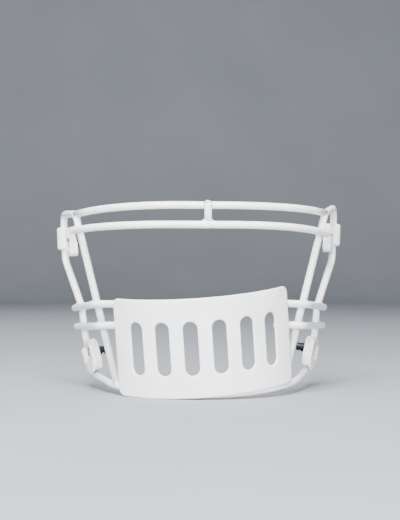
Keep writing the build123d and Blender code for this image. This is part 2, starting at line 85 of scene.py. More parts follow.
# Rails and temple loops
FOOT_OUT = {"left": 77.5, "right": 65.5}
LOOP_FRONT = {"left": 41.2, "right": 43.0}
LOOP_BACK = {"left": 43.0, "right": 50.0}
LOOP_BEND = 9.0
RAIL_TOP_OUT = 128.4
KNEE = np.array([126.6, 5.0, 0.5])
CHEEK = np.array([110.8, -3.0, -44.0])
JAW = np.array([107.9, -7.6, -69.0])
RAIL_BENDS = (28.0, 38.0, 38.0)

# Chin bar
CHIN_FLARE, CHIN_BACK, CHIN_RISE, CHIN_ROLL = 7.5, -25.0, 10.8, np.radians(1.0)
CHIN_BEND = 12.0
CHIN_FRONT_HEIGHT = -113.7

# Mouth plate
SHEET = 2.5
ROLL_R = 96.0
PLATE_WIDTH, PLATE_HEIGHT = 173.8, 84.8
PLATE_CORNER = 6.0
PLATE_FRONT, PLATE_MIDDLE, PLATE_SHIFT = -130.0, -73.7, -3.5
PLATE_LEAN, PLATE_ROLL = np.radians(6.6), np.radians(4.2)
COAT_ROUND = 0.95
SLOTS, SLOT_WIDTH, SLOT_HEIGHT, SLOT_FIELD = 6, 12.5, 46.0, 136.0

# Its mesh: points round a slot's end, over a plain field, round a corner and over an edge
END_STEPS, FIELD_STEPS, CORNER_STEPS, ROUND_STEPS = 13, 6, 9, 6

# Cheek bars: back and front heights, how their ends run, and how softly they bend between
CHEEKS = {"upper": (-43.0, -38.0), "lower": (-61.3, -56.5)}
CHEEK_MIDDLE_RISE = 1.8
CHEEK_OVERHANG, CHEEK_STRAIGHT, CHEEK_LAP, CHEEK_LEAD, CHEEK_EASE = 3.3, 2.0, 9.0, 1.0, 0.45

# Pin springs and lock balls, along each coupler's axis from the floor of the clip's recess
BALL_DOWN = {"upper": -10.5, "lower": -11.2}
SPRING_LOW, SPRING_HIGH, SPRING_WIRE_R, SPRING_COIL_R, SPRING_TURNS = -5.625, -0.825, 0.225, 2.05, 5

# The sweep behind the part, in metres
SWEEP_NEAR, SWEEP_FLAT, SWEEP_BEND, SWEEP_TOP, SWEEP_HALF_WIDTH = -2.5, 2.2, 0.8, 3.0, 4.0


def unit(v):
    """Vectors divided by their lengths."""
    return v / np.linalg.norm(v, axis=-1, keepdims=True)


def on_side(side, points):
    """Mirror points across the middle for the left side."""
    return np.asarray(points) * np.array([SIDES[side], 1.0, 1.0])


def at_height(low, high, height):
    """The point of a straight line at one height."""
    return low + (high - low) * ((height - low[2]) / (high[2] - low[2]))


# Camera first: the photograph's own view, level and a little to the viewer's left
LENS_PX = 1203.0
FRAME_PX = 520.0
SENSOR = 36.0
VIEW_TURN = np.radians(-3.8)
VIEW_DISTANCE = 1135.0


def add_camera():
    """A level camera on a circle round the cage's origin, looking at that origin."""
    data = bpy.data.cameras.new("camera")
    data.sensor_width = SENSOR
    data.lens = LENS_PX * SENSOR / FRAME_PX
    camera = bpy.data.objects.new("camera", data)
    bpy.context.scene.collection.objects.link(camera)
    out = np.array([np.sin(VIEW_TURN), -np.cos(VIEW_TURN), 0.0])
    camera.location = Vector((out * VIEW_DISTANCE + GROUND) / 1000)
    camera.rotation_euler = Vector(-out).to_track_quat("-Z", "Y").to_euler()
    bpy.context.scene.camera = camera


add_camera()


# Materials

def linear(code):
    """An sRGB hex colour as linear RGBA."""
    value = np.array([int(code[i:i + 2], 16) for i in (1, 3, 5)]) / 255
    value = np.where(value <= 0.04045, value / 12.92, ((value + 0.055) / 1.055) ** 2.4)
    return (*value.tolist(), 1.0)


def node(tree, kind, settings=None, **links):
    """Add a shader node: settings go to its sockets, links join its sockets to others."""
    made = tree.nodes.new(kind)
    for key, value in (settings or {}).items():
        made.inputs[key].default_value = value
    for key, source in links.items():
        tree.links.new(source, made.inputs[key])
    return made


def start(name, shader):
    """A material with a Principled shader, its settings on the shader's own sockets."""
    material = bpy.data.materials.new(name)
    material.use_nodes = True
    tree = material.node_tree
    tree.nodes.clear()
    bsdf = node(tree, "ShaderNodeBsdfPrincipled", shader)
    node(tree, "ShaderNodeOutputMaterial", Surface=bsdf.outputs[0])
    coords = node(tree, "ShaderNodeTexCoord").outputs["Object"]
    return material, tree, bsdf, coords


def noise(tree, coords, size_mm, detail):
    """The value of a soft noise whose patches have a real size."""
    settings = {"Scale": 1000 / size_mm, "Detail": detail}
    return node(tree, "ShaderNodeTexNoise", settings, Vector=coords).outputs[0]


def mottle(tree, bsdf, coords, light, dark, size_mm):
    """Slow change of colour between two near shades, of a real patch size."""
    ramp = node(tree, "ShaderNodeValToRGB", Fac=noise(tree, coords, size_mm, 3.0))
    for stop, position, shade in zip(ramp.color_ramp.elements, (0.35, 0.65), (dark, light)):
        stop.position = position
        stop.color = linear(shade)
    tree.links.new(ramp.outputs[0], bsdf.inputs["Base Color"])


def vary_roughness(tree, bsdf, coords, low, high, size_mm):
    """Gloss that changes gently from place to place."""
    span = node(tree, "ShaderNodeMapRange", {"To Min": low, "To Max": high},
                Value=noise(tree, coords, size_mm, 2.0))
    tree.links.new(span.outputs[0], bsdf.inputs["Roughness"])


def bump(tree, bsdf, height, depth_mm, strength):
    """Surface relief of a real depth."""
    relief = node(tree, "ShaderNodeBump", {"Strength": strength, "Distance": depth_mm / 1000}, Height=height)
    tree.links.new(relief.outputs[0], bsdf.inputs["Normal"])


def powder_coat():
    """White polyester powder coat, sprayed dry and baked: satin, faintly rippled like orange peel.
    The ripples are about 1.5 mm across on the object and drawn at 2.4 mm, so that they show."""
    shader = {"IOR": 1.5, "Coat Weight": 0.25, "Coat Roughness": 0.12}
    material, tree, bsdf, coords = start("white_powder_coat_on_steel", shader)
    mottle(tree, bsdf, coords, "#F1F1F2", "#E9E9EB", 38.0)
    vary_roughness(tree, bsdf, coords, 0.30, 0.42, 14.0)
    bump(tree, bsdf, noise(tree, coords, 2.4, 1.0), 0.05, 0.5)
    return material


def moulded_nylon():
    """White glass-filled nylon, injection moulded: duller than the coat, with a fine spark-eroded
    grain of 0.3 mm that is drawn at 0.9 mm, and slow flow marks."""
    shader = {"IOR": 1.53, "Subsurface Weight": 0.04, "Subsurface Scale": 0.002}
    material, tree, bsdf, coords = start("moulded_white_nylon", shader)
    mottle(tree, bsdf, coords, "#EFEFEF", "#E6E6E7", 9.0)
    vary_roughness(tree, bsdf, coords, 0.40, 0.52, 5.0)
    bump(tree, bsdf, noise(tree, coords, 0.9, 2.0), 0.03, 0.5)
    return material


def turned_steel(name, light, dark, rough):
    """Turned or ground steel. Its tool marks are 0.1 mm apart on the object and drawn 0.3 mm apart along X
    and 2.4 mm long, so that they show as a fine brushed sheen."""
    material, tree, bsdf, coords = start(name, {"Metallic": 1.0})
    mottle(tree, bsdf, coords, light, dark, 2.0)
    vary_roughness(tree, bsdf, coords, rough, rough + 0.12, 1.5)
    stretched = node(tree, "ShaderNodeMapping", {"Scale": (8.0, 1.0, 1.0)}, Vector=coords)
    bump(tree, bsdf, noise(tree, stretched.outputs[0], 2.4, 2.0), 0.01, 0.4)
    return material


def drawn_spring_wire():
    """Oil-hardened spring wire: dark, with a soft uneven sheen."""
    material, tree, bsdf, coords = start("drawn_spring_wire", {"Metallic": 1.0})
    mottle(tree, bsdf, coords, "#8E9094", "#63656A", 1.2)
    vary_roughness(tree, bsdf, coords, 0.3, 0.45, 1.0)
    return material


COAT = powder_coat()
NYLON = moulded_nylon()


def finish_cad_nodes():
    """Give every node that stays from the model the finish of its own stock."""
    finishes = {"_clip": NYLON,
                "_coupler": turned_steel("blackened_steel_coupler", "#36383C", "#2B2D30", 0.38),
                "_release_pin": turned_steel("plated_steel_pin", "#D4D6D9", "#B9BCC0", 0.22),
                "_lock_ball": turned_steel("polished_steel_ball", "#DCDDDF", "#C6C8CB", 0.10)}
    for name, piece in frame["nodes"].items():
        for ending, material in finishes.items():
            if name.endswith(ending):
                piece.data.materials.clear()
                piece.data.materials.append(material)


finish_cad_nodes()


# Meshes

def smooth_object(name, points, faces, material):
    """A smooth-shaded object from points in metres and faces, in one material."""
    mesh = bpy.data.meshes.new(name)
    mesh.from_pydata(points.tolist(), [], faces)
    mesh.polygons.foreach_set("use_smooth", np.ones(len(faces), bool))
    mesh.validate()
    mesh.materials.append(material)
    made = bpy.data.objects.new(name, mesh)
    bpy.context.scene.collection.objects.link(made)
    return made


def add_piece(name, points, faces, body, material, slot, *nodes):
    """Put a worked-out surface into the scene as one piece that stands for its nodes."""
    piece = smooth_object(name, (points + GROUND) / 1000, faces, material)
    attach(piece, body)
    if nodes:
        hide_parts(*nodes)
    return piece


def ring_faces(rings, count, first=0, wrap=False):
    """Quads between closed rings: point (k, j) joins (k, j+1), (k+1, j+1) and (k+1, j). With wrap the last
    ring joins the first one."""
    k, j = np.meshgrid(np.arange(rings if wrap else rings - 1), np.arange(count), indexing="ij")
    nxt = (j + 1) % count
    up = (k + 1) % rings
    quads = np.stack([k * count + j, k * count + nxt, up * count + nxt, up * count + j], -1)
    return (quads.reshape(-1, 4) + first).tolist()


def fan_faces(pole, ring_start, count, outward):
    """Triangles from a pole point to one ring."""
    j = np.arange(count)
    a, b = ring_start + j, ring_start + (j + 1) % count
    tri = np.stack([np.full(count, pole), a, b] if outward else [np.full(count, pole), b, a], -1)
    return tri.tolist()


def capped_rings(rings):
    """A closed skin from a stack of rings, with a pole in the middle of the first and the last one."""
    n, m, _ = rings.shape
    points = np.concatenate([rings.reshape(-1, 3), rings[:1].mean(1), rings[-1:].mean(1)])
    faces = ring_faces(n, m) + fan_faces(n * m, 0, m, False) + fan_faces(n * m + 1, (n - 1) * m, m, True)
    return points, faces


def bent_wire(corners, bends):
    """Straight runs joined by arcs. Each arc has its centre on the corner's bisector, at
    bend / sin(half angle), and its points are centre + bend·(cos a·toward the corner + sin a·across)."""
    runs = [corners[0][None]]
    for before, corner, after, bend in zip(corners, corners[1:], corners[2:], bends):
        u, w = unit(before - corner), unit(after - corner)
        half = np.arccos(np.clip(u @ w, -1, 1)) / 2
        turn = np.pi - 2 * half
        a = np.linspace(-turn / 2, turn / 2, int(turn / ARC_STEP) + 3)[:, None]
        centre = corner + unit(u + w) * bend / np.sin(half)
        runs.append(centre + bend * (np.sin(a) * unit(w - u) - np.cos(a) * unit(u + w)))
    runs.append(corners[-1][None])
    return np.concatenate(runs)


def distances(path):
    """Distance along a path at each of its points."""
    return np.r_[0, np.cumsum(np.linalg.norm(np.diff(path, axis=0), axis=1))]


def sample(path, along, at):
    """Points of a path, or directions along it, at given distances."""
    return np.stack([np.interp(at, along, path[:, i]) for i in range(3)], -1)


def wire_frames(path):
    """Two directions square to the path at each point, from one axis that the path never runs along."""
    run = unit(np.gradient(path, axis=0))
    axis = np.eye(3)[np.argmin(np.abs(run).max(0))]
    side = unit(np.cross(run, axis))
    return side, np.cross(run, side)


def tube(name, path, rounded, *nodes):
    """A coated wire: ring k has its centre on the path at distance s_k and radius r_k, and its points are
    centre + r_k·(cos a·side + sin a·up). At a rounded end r falls by a quarter circle of END_ROUND."""
    path = path[np.r_[True, np.diff(distances(path)) > 1e-6]]
    along = distances(path)
    length = along[-1]
    q = np.linspace(np.pi / 2, 0, 7)
    dome = END_ROUND * (1 - np.sin(q)), WIRE_R - END_ROUND * (1 - np.cos(q))
    end = END_ROUND + END_CLEAR
    inner = along[(along > end) & (along < length - end)]
    first = dome if rounded[0] else (np.zeros(1), np.full(1, WIRE_R))
    last = dome if rounded[1] else (np.zeros(1), np.full(1, WIRE_R))
    s = np.r_[first[0], inner, (length - last[0])[::-1]]
    r = np.r_[first[1], np.full(len(inner), WIRE_R), last[1][::-1]]
    side, up = wire_frames(path)
    centre, side, up = sample(path, along, s), unit(sample(side, along, s)), unit(sample(up, along, s))
    a = np.linspace(0, 2 * np.pi, RING_POINTS, endpoint=False)
    rings = centre[:, None] + r[:, None, None] * (
        np.cos(a)[None, :, None] * side[:, None] + np.sin(a)[None, :, None] * up[:, None])
    points, faces = capped_rings(rings)
    add_piece(name, points, faces, "cage", COAT, "coated_wire", *nodes)


# The plate's place, and points on its roll

def plate_frame():
    """Turn and place of the plate: roll about Y after lean about X, at its front middle."""
    lean = Matrix.Rotation(PLATE_LEAN, 3, "X")
    roll = Matrix.Rotation(-PLATE_ROLL, 3, "Y")
    return np.array(lean @ roll), np.array([PLATE_SHIFT, PLATE_FRONT, PLATE_MIDDLE])


def rolled(along, depth, height):
    """A sheet point: the roll's radius less depth, turned by along / ROLL_R."""
    turn = along / ROLL_R
    reach = ROLL_R - depth
    local = np.stack([reach * np.sin(turn), ROLL_R - reach * np.cos(turn), height], -1)
    matrix, place = plate_frame()
    return local @ matrix.T + place


def plate_point(turn, depth, height):
    """The point at a turn round the roll, at a depth behind the front, at a true height."""
    low, high = rolled(np.full(2, turn * ROLL_R), depth, np.array([-PLATE_HEIGHT, PLATE_HEIGHT]))
    return at_height(low, high, height)


# Paths of the wires

def bar_corners(ends, corner, shift, front, heights):
    """A brow bar's two ends, with the two corners of its straight middle between them."""
    left, right = (np.array([SIDES[side] * corner + shift, front, heights[side]]) for side in SIDES)
    return [ends[0], left, right, ends[1]]


def lower_bar_corners():
    """The lower brow bar's ends pass over the inner rails."""
    ends = [on_side(side, [LOWER_END_OUT[side], LOWER_END_BACK, LOWER_END_HEIGHT[side]]) for side in SIDES]
    return bar_corners(ends, LOWER_CORNER, LOWER_SHIFT, LOWER_FRONT, LOWER_HEIGHT)


def upper_bar_corners():
    """The upper brow bar's ends land on the temple loops."""
    ends = [on_side(side, loop_front(side)) for side in SIDES]
    return bar_corners(ends, UPPER_CORNER, UPPER_SHIFT, UPPER_FRONT, UPPER_HEIGHT)


def post_ends():
    """The post's centre at its foot on the lower brow bar, and at its top in front of the upper one."""
    low, high = (sum(height.values()) / 2 for height in (LOWER_HEIGHT, UPPER_HEIGHT))
    top = high + WIRE_R - POST_DROP
    return [np.array([POST_OUT, LOWER_FRONT, low]), np.array([POST_OUT, UPPER_FRONT - LAP, top])]


def chin_front():
    """The chin bar's centre at its front middle, behind the plate."""
    point = plate_point(0.0, SHEET + WIRE_R - BITE, CHIN_FRONT_HEIGHT)
    return np.array([0.0, point[1], CHIN_FRONT_HEIGHT])


def chin_axes(side):
    """The chin bar's plane on one side: outward, and back along its rise."""
    x_dir = np.array([np.cos(CHIN_ROLL), 0, SIDES[side] * np.sin(CHIN_ROLL)])
    rise = np.array([0, CHIN_BACK - chin_front()[1], CHIN_RISE])
    normal = np.cross(x_dir, rise)
    return x_dir, unit(np.cross(normal, x_dir)), np.linalg.norm(rise)


CHIN_R = ROLL_R - SHEET - WIRE_R + BITE
CHIN_OUT = CHIN_R + CHIN_FLARE


def chin_tangent():
    """Turn round the chin bar's front arc at which its straight side runs leave it."""
    back = chin_axes("right")[2] - CHIN_R
    return np.pi / 2 + np.arctan2(back, CHIN_OUT) - np.arccos(CHIN_R / np.hypot(CHIN_OUT, back))


def chin_point(side, turn):
    """The front arc's centre line: sideways by R sin(turn), back along the plane by R (1 - cos(turn))."""
    x_dir, y_dir, _ = chin_axes(side)
    return chin_front() + CHIN_R * (np.sin(turn) * x_dir + (1 - np.cos(turn)) * y_dir)


def chin_corner(side):
    """The corner under the lower clip, where the outer rail's line meets the chin bar's side run."""
    x_dir, y_dir, depth = chin_axes(side)
    return chin_front() + CHIN_OUT * x_dir + depth * y_dir


def rail_foot(side):
    """Where the inner rail lands on the chin bar's centre line."""
    tangent = chin_point(side, chin_tangent())
    out = FOOT_OUT[side]
    if out < tangent[0]:
        return chin_point(side, np.arcsin(out / CHIN_R))
    corner = chin_corner(side)
    return tangent + (corner - tangent) * ((out - tangent[0]) / (corner[0] - tangent[0]))


def brow_crossing(side):
    """The lower brow bar's centre where it passes in front of the inner rail, and the way it runs there."""
    corners = lower_bar_corners()
    end, corner = (corners[0], corners[1]) if side == "left" else (corners[3], corners[2])
    run = unit(corner - end)
    return on_side(side, end + run * LOWER_OVERHANG), on_side(side, run)


def rail_weld(side):
    """The inner rail's centre behind the lower brow bar."""
    on_bar, run = brow_crossing(side)
    inward = unit(np.cross(run, on_bar - rail_foot(side)))
    return on_bar + inward * LAP * (-1.0 if inward[0] > 0 else 1.0)


def loop_front(side):
    """The temple loop's front corner, at the top of the inner rail's line."""
    return at_height(rail_foot(side), rail_weld(side), LOOP_FRONT[side])


def loop_back(side):
    """The temple loop's back corner, on the outer rail's line up from the knee."""
    return at_height(KNEE, np.array([RAIL_TOP_OUT, KNEE[1], LOOP_BACK["right"]]), LOOP_BACK[side])


def outer_rail_at(side, height):
    """Centre and upward run of the outer rail at a height."""
    corners = [KNEE, CHEEK, JAW, chin_corner(side)]
    for high, low in zip(corners, corners[1:]):
        if height >= low[2]:
            break
    return at_height(low, high, height), unit(high - low)


def cheek_crossings(side, back, front):
    """A cheek bar's centre in front of the outer rail and of the inner rail, and both rails there."""
    outer, outer_up = outer_rail_at(side, back)
    foot = rail_foot(side)
    inner_up = unit(loop_front(side) - foot)
    inner = at_height(foot, loop_front(side), (back + front) / 2 + CHEEK_MIDDLE_RISE)
    run = inner - outer
    for _ in range(4):
        over_outer = outer + unit(np.cross(outer_up, run)) * LAP
        over_inner = inner + unit(np.cross(inner_up, run)) * LAP
        run = over_inner - over_outer
    return (over_outer, outer, outer_up), (over_inner, inner, inner_up)


def cheek_path(side, back, front):
    """Straight over both rails, then a cubic Bezier, tangent at both ends, to lie behind the plate's edge."""
    (over_outer, _, _), (over_inner, _, _) = cheek_crossings(side, back, front)
    depth = SHEET + WIRE_R - BITE
    edge = PLATE_WIDTH / 2 / ROLL_R
    step = CHEEK_LAP / 2 / ROLL_R
    lap, inner, outer = [on_side(side, plate_point(SIDES[side] * turn, depth, front))
                         for turn in (edge - step, edge - 2 * step, edge)]
    along = unit(outer - inner)
    run = unit(over_outer - over_inner)
    a, d = over_inner - run * CHEEK_STRAIGHT, lap + along * CHEEK_LEAD
    ease = np.linalg.norm(d - a) * CHEEK_EASE
    b, c = a - run * ease, d + along * ease
    t = np.linspace(0, 1, CHEEK_POINTS)[:, None]
    curve = a * (1 - t) ** 3 + 3 * b * t * (1 - t) ** 2 + 3 * c * t ** 2 * (1 - t) + d * t ** 3
    return np.concatenate([[over_outer + run * CHEEK_OVERHANG], curve, [lap - along * CHEEK_LAP]])


def half_perimeter(side):
    """One side's run of the perimeter wire: up the inner rail, over the temple, down the outer rail
    and round the chin bend, to where the chin bar's front arc starts."""
    tangent = chin_point(side, chin_tangent())
    corners = [rail_foot(side), loop_front(side), loop_back(side), KNEE, CHEEK, JAW, chin_corner(side),
               tangent]
    return on_side(side, bent_wire(corners, (LOOP_BEND, LOOP_BEND, *RAIL_BENDS, CHIN_BEND)))


def perimeter_front():
    """The chin bar's front arc, from the left to the right."""
    turns = np.linspace(0, chin_tangent(), CHIN_POINTS)
    left, right = (on_side(side, np.array([chin_point(side, turn) for turn in turns])) for side in SIDES)
    return np.concatenate([left[:0:-1], right])


def make_wires():
    """Every wire of the cage. The perimeter wire is one length, from one inner rail's foot to the
    other's."""
    perimeter = np.concatenate([half_perimeter("left"), perimeter_front()[1:-1],
                                half_perimeter("right")[::-1]])
    tube("perimeter_wire", perimeter, (False, False), "chin_bar",
         *(f"{side}_{part}" for side in SIDES for part in ("inner_rail", "temple_loop", "outer_rail")))
    tube("lower_brow_bar_wire", bent_wire(lower_bar_corners(), (LOWER_BEND,) * 2), (True, True),
         "lower_brow_bar")
    tube("upper_brow_bar_wire", bent_wire(upper_bar_corners(), (UPPER_BEND,) * 2), (False, False),
         "upper_brow_bar")
    tube("brow_post_wire", np.array(post_ends()), (False, True), "brow_post")
    for side in SIDES:
        for level, heights in CHEEKS.items():
            tube(f"{side}_{level}_cheek_wire", on_side(side, cheek_path(side, *heights)), (True, True),
                 f"{side}_{level}_cheek_bar")


make_wires()


# Mouth plate, laid out flat in (u along the sheet, v up, depth behind its front) and then rolled

PLATE_TOP = PLATE_HEIGHT / 2 - COAT_ROUND
PLATE_SIDE = PLATE_WIDTH / 2 - COAT_ROUND
CORNER_R = PLATE_CORNER - COAT_ROUND
PITCH = (SLOT_FIELD - SLOT_WIDTH) / (SLOTS - 1)
SLOT_RUN = (SLOT_HEIGHT - SLOT_WIDTH) / 2
SLOT_MIDDLES = (np.arange(SLOTS) - (SLOTS - 1) / 2) * PITCH


def edge_profile():
    """How the coat rounds an edge: outward by r·sin t and down by r(1 - cos t) in front, the same behind."""
    t = np.linspace(0, np.pi / 2, ROUND_STEPS)
    out, down = COAT_ROUND * np.sin(t), COAT_ROUND * (1 - np.cos(t))
    return np.r_[out, out[::-1]], np.r_[down, SHEET - down[::-1]]


def rows():
    """Heights across the plate: even along the slots, spread by tan t round their ends, and by sin t at
    the corners."""
    half = PITCH / 2
    straight = np.linspace(0, SLOT_RUN, 4)
    t = np.linspace(0, np.arctan((PLATE_TOP - CORNER_R - SLOT_RUN) / half), END_STEPS)
    corner = np.linspace(0, np.pi / 2, CORNER_STEPS)
    v = np.r_[straight, SLOT_RUN + half * np.tan(t[1:]), PLATE_TOP - CORNER_R * (1 - np.sin(corner[1:]))]
    return np.r_[-v[:0:-1], v]


def side_edge(v):
    """Where the front's flat part ends at a height: straight, then a quarter circle into each corner."""
    over = np.maximum(np.abs(v) - (PLATE_TOP - CORNER_R), 0)
    u = PLATE_SIDE - CORNER_R + np.sqrt(np.maximum(CORNER_R ** 2 - over ** 2, 0))
    return u, np.stack([u - PLATE_SIDE + CORNER_R, over * np.sign(v)], -1) / CORNER_R


def stack_rings(flat, depth):
    """Rings of flat points, each at its own depth, as points and faces."""
    grid = np.concatenate([flat, np.broadcast_to(depth[:, None, None], (*flat.shape[:2], 1))], -1)
    return grid.reshape(-1, 3), ring_faces(*flat.shape[:2])


def cell_columns():
    """Points across the top of one slot's cell, spread by tan t as seen from the slot's end."""
    t = np.linspace(-1, 1, END_STEPS) * np.arctan(PITCH / 2 / (PLATE_TOP - SLOT_RUN))
    return (PLATE_TOP - SLOT_RUN) * np.tan(t)


def slot_cell(middle, v):
    """One slot with the sheet round it: rings run from the cell's rectangle, point by point, straight to the
    slot's rim, which lies at a fixed distance from the slot's middle line, through it, and back out
    behind."""
    half, u = PITCH / 2, cell_columns()
    border = np.concatenate([np.stack([np.full(len(v), half), v], -1)[:-1],
                             np.stack([u[::-1], np.full(len(u), PLATE_TOP)], -1)[:-1],
                             np.stack([np.full(len(v), -half), v[::-1]], -1)[:-1],
                             np.stack([u, np.full(len(u), -PLATE_TOP)], -1)[:-1]])
    centre = np.stack([np.zeros(len(border)), np.clip(border[:, 1], -SLOT_RUN, SLOT_RUN)], -1)
    away = unit(border - centre)
    out, down = edge_profile()
    rim = SLOT_WIDTH / 2 + COAT_ROUND - out
    wall = centre + rim[:, None, None] * away
    k = np.linspace(1, 0, FIELD_STEPS)[:-1, None, None]
    field = wall[0] + k * (border - wall[0])
    flat = np.concatenate([field, wall, field[::-1]]) + [middle, 0]
    return stack_rings(flat, np.r_[np.zeros(len(field)), down, np.full(len(field), SHEET)])


def margin(side, behind, v):
    """The plain field between the last slot's cell and the plate's side edge."""
    edge = side_edge(v)[0]
    k = np.linspace(0, 1, FIELD_STEPS)
    inner = SLOTS * PITCH / 2
    u = inner + k * (edge[:, None] - inner)
    grid = np.stack([side * u, np.repeat(v[:, None], len(k), 1), np.full(u.shape, SHEET * behind)], -1)
    if (side < 0) != behind:
        grid = grid[:, ::-1]
    i, j = np.meshgrid(np.arange(len(v) - 1), np.arange(len(k) - 1), indexing="ij")
    a = i * len(k) + j
    return grid.reshape(-1, 3), np.stack([a, a + 1, a + 1 + len(k), a + len(k)], -1).reshape(-1, 4).tolist()


def outer_rim(v):
    """The sheet's rounded outline: the outer loop pushed along its own normal by the edge profile."""
    inner, end = SLOTS * PITCH / 2, PLATE_SIDE - CORNER_R
    k = np.linspace(0, 1, FIELD_STEPS)[1:]
    row = np.unique(np.round(np.r_[(SLOT_MIDDLES[:, None] + cell_columns()).ravel(),
                                   inner + k * (end - inner), -inner - k * (end - inner)], 6))
    edge, normal = side_edge(v)
    top = np.stack([row, np.full(len(row), PLATE_TOP)], -1)
    right = np.stack([edge, v], -1)[::-1]
    up = np.broadcast_to([0.0, 1.0], top.shape)
    loop = np.concatenate([top[:-1], right[:-1], -top[:-1], -right[:-1]])
    turn = np.concatenate([up[:-1], normal[::-1][:-1], -up[:-1], -normal[::-1][:-1]])
    out, down = edge_profile()
    return stack_rings(loop + out[:, None, None] * turn, down)


def make_plate():
    """Slot cells side by side, a margin at each end and the rim round all, merged where they meet to
    0.0005 mm, then rolled: a point at u along the sheet goes to the angle u / ROLL_R."""
    v = rows()
    parts = [slot_cell(middle, v) for middle in SLOT_MIDDLES]
    parts += [margin(side, behind, v) for side in (1, -1) for behind in (False, True)]
    parts.append(outer_rim(v))
    starts = np.cumsum([0] + [len(points) for points, _ in parts])
    points = np.concatenate([points for points, _ in parts])
    faces = np.concatenate([np.array(quads) + first for (_, quads), first in zip(parts, starts)])
    _, first, again = np.unique(np.round(points * 2000).astype(int), axis=0, return_index=True,
                                return_inverse=True)
    points, faces = points[first], again.reshape(-1)[faces]
    add_piece("coated_mouth_plate", rolled(points[:, 0], points[:, 2], points[:, 1]), faces.tolist(),
              "cage", COAT, "coated_plate", "mouth_plate")


make_plate()


# Welds: a ball of the weld's radius rolls in the corner between two wires

def weld_skin(centre, toward_a, toward_b, radius):
    """The skin that a rolling ball leaves: for each place j of its centre, an arc of the ball from the
    contact with one wire to the contact with the other, a hem sunk under each wire's coat, and a closing
    strip from hem to hem inside the corner."""
    t = np.linspace(0, 1, 9)[:, None, None]
    angle = np.arccos(np.clip((toward_a * toward_b).sum(-1), -1, 1))[None, :, None]
    angle = np.maximum(angle, 1e-4)
    arc = (np.sin((1 - t) * angle) * toward_a + np.sin(t * angle) * toward_b) / np.sin(angle)
    skin = centre + radius[:, None] * arc
    rings = np.concatenate([skin[:1] + toward_a * HEM, skin, skin[-1:] + toward_b * HEM])
    return rings.reshape(-1, 3), ring_faces(*rings.shape[:2], wrap=True)


def foot_weld(path_a, b_point, b_run, size):
    """Weld round wire b where it lands on wire a. At each turn round b the ball slides in along b,
    WIRE_R + size from its centre line, until a's centre line is as near: the first such place on a ruler
    of 0.1 mm steps. The size waves a little round the weld, as a hand-run bead does."""
    turn = np.linspace(0, 2 * np.pi, WELD_POINTS, endpoint=False)
    b_run = unit(b_run)
    e1 = unit(np.cross(b_run, [0.31, 0.59, 0.74]))
    e2 = np.cross(b_run, e1)
    radius = size * (1 + 0.10 * np.sin(3 * turn + 0.7) + 0.05 * np.sin(7 * turn))
    reach = WIRE_R + radius
    around = np.cos(turn)[:, None] * e1 + np.sin(turn)[:, None] * e2
    slide = np.linspace(SLIDE_FROM, SLIDE_TO, SLIDE_STEPS)
    centre = b_point + reach[:, None, None] * around[:, None] + slide[None, :, None] * b_run
    off = centre[:, :, None] - path_a[None, None]
    far = np.sqrt((off ** 2).sum(-1))
    nearest, gap = far.argmin(-1), far.min(-1)
    stop = np.argmax(gap < reach[:, None], 1)
    stop = np.where((gap < reach[:, None]).any(1), stop, gap.argmin(1))
    row = np.arange(WELD_POINTS)
    centre = centre[row, stop]
    return weld_skin(centre, unit(path_a[nearest[row, stop]] - centre), -around, radius)


def crossing_weld(a_point, a_run, b_point, b_run, size):
    """Weld round the touching place of two crossing wires. At each turn round their common normal n, the
    ball's centre is rho out from n: rho squared solves the quadratic for a ball as near to both centre
    lines as its own and the wire's radius."""
    turn = np.linspace(0, 2 * np.pi, CROSS_POINTS, endpoint=False)
    a_run, b_run = unit(a_run), unit(b_run)
    n = unit(b_point - a_point)
    side = np.cross(n, a_run)
    beta = np.arctan2(b_run @ side, b_run @ a_run)
    radius = size * (1 + 0.08 * np.sin(3 * turn + 1.1) + 0.05 * np.sin(5 * turn))
    reach = WIRE_R + radius
    gap = np.linalg.norm(b_point - a_point)
    sa, sb = np.sin(turn) ** 2, np.sin(turn - beta) ** 2
    d, e = (sa - sb) / (2 * gap), (sa + sb) / 2
    k = reach ** 2 - gap ** 2 / 4
    rho2 = 2 * k / (e + np.sqrt(e * e + 4 * d * d * k))
    flat = np.cos(turn)[:, None] * a_run + np.sin(turn)[:, None] * side
    middle = (a_point + b_point) / 2
    centre = middle + np.sqrt(rho2)[:, None] * flat - (d * rho2)[:, None] * n
    to = []
    for point, run in ((a_point, a_run), (b_point, b_run)):
        off = centre - point
        to.append(-unit(off - (off @ run)[:, None] * run))
    return weld_skin(centre, to[0], to[1], radius)


def near(path, point, reach=14.0):
    """The stretch of a centre line round a point, in RULER steps."""
    along = distances(path)
    path = sample(path, along, np.linspace(0, along[-1], int(along[-1] / RULER)))
    return path[np.linalg.norm(path - point, axis=1) < reach]


